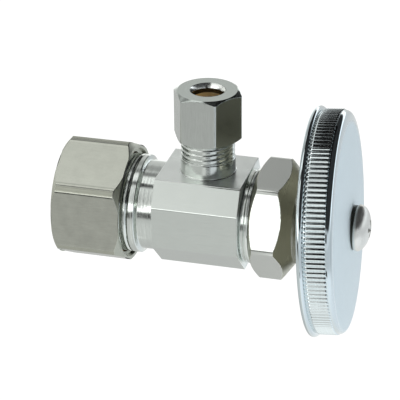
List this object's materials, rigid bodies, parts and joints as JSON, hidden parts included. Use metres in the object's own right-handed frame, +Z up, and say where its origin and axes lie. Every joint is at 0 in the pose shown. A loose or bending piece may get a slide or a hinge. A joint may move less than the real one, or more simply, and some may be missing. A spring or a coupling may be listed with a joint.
{
  "type": "angle stop valve",
  "caption": "Multi-turn angle stop valve with a compression inlet, a smaller compression outlet at a right angle and a round knurled handle.",
  "frame": {"origin": "centre of the body's inlet mouth, on the axis of the supply pipe", "axes": "+X along the valve from the supply pipe to the handle, +Z up the outlet, +Y completes a right-handed frame"},
  "size_m": [0.0647, 0.0474, 0.0505],
  "materials": {
    "chrome_plated_brass": "bright chrome over machined brass, satin on the flats",
    "plated_nut": "satin chrome plate with fine drawing lines",
    "handle_chrome": "polished chrome",
    "screw_nickel": "satin nickel",
    "brass": "machined",
    "washer_rubber": "matte",
    "packing": "matte graphite-filled"
  },
  "bodies": {
    "body": {"valve_body": "chrome_plated_brass", "stem_packing": "packing", "packing_seat_washer": "brass"},
    "inlet_ferrule": {"inlet_ferrule": "brass"},
    "inlet_nut": {"inlet_nut": "plated_nut"},
    "outlet_ferrule": {"outlet_ferrule": "brass"},
    "outlet_nut": {"outlet_nut": "plated_nut"},
    "gland_washer": {"gland_washer": "brass"},
    "packing_nut": {"packing_nut": "plated_nut"},
    "seat_washer": {"seat_washer": "washer_rubber"},
    "handle": {"stem": "chrome_plated_brass", "seat_washer_screw": "brass", "handle": "handle_chrome", "handle_screw": "screw_nickel"}
  },
  "joints": [
    {"name": "seat_washer_slide", "type": "slide", "parent": "body", "child": "seat_washer", "axis": [1, 0, 0], "range_m": [0, 0.00381]},
    {"name": "handle_turn", "type": "hinge", "parent": "seat_washer", "child": "handle", "pos_m": [0.0542, 0, 0], "axis": [1, 0, 0], "range_deg": [0, 1080]},
    {"name": "inlet_ferrule_slide", "type": "slide", "parent": "body", "child": "inlet_ferrule", "axis": [-1, 0, 0], "range_m": [0, 0.00706]},
    {"name": "inlet_nut_turn", "type": "hinge", "parent": "inlet_ferrule", "child": "inlet_nut", "pos_m": [-0.0064, 0, 0], "axis": [-1, 0, 0], "range_deg": [0, 1800]},
    {"name": "outlet_ferrule_slide", "type": "slide", "parent": "body", "child": "outlet_ferrule", "axis": [0, 0, 1], "range_m": [0, 0.00477]},
    {"name": "outlet_nut_turn", "type": "hinge", "parent": "outlet_ferrule", "child": "outlet_nut", "pos_m": [0.0241, 0, 0.0273], "axis": [0, 0, 1], "range_deg": [0, 1620]},
    {"name": "gland_washer_slide", "type": "slide", "parent": "body", "child": "gland_washer", "axis": [1, 0, 0], "range_m": [0, 0.00212]},
    {"name": "packing_nut_turn", "type": "hinge", "parent": "gland_washer", "child": "packing_nut", "pos_m": [0.0351, 0, 0], "axis": [1, 0, 0], "range_deg": [0, 720]}
  ],
  "couplings": [
    {"joint": "seat_washer_slide", "follows": "handle_turn", "m_per_rad": 0.00020213},
    {"joint": "inlet_ferrule_slide", "follows": "inlet_nut_turn", "m_per_rad": 0.00022458},
    {"joint": "outlet_ferrule_slide", "follows": "outlet_nut_turn", "m_per_rad": 0.00016844},
    {"joint": "gland_washer_slide", "follows": "packing_nut_turn", "m_per_rad": 0.00016844}
  ]
}
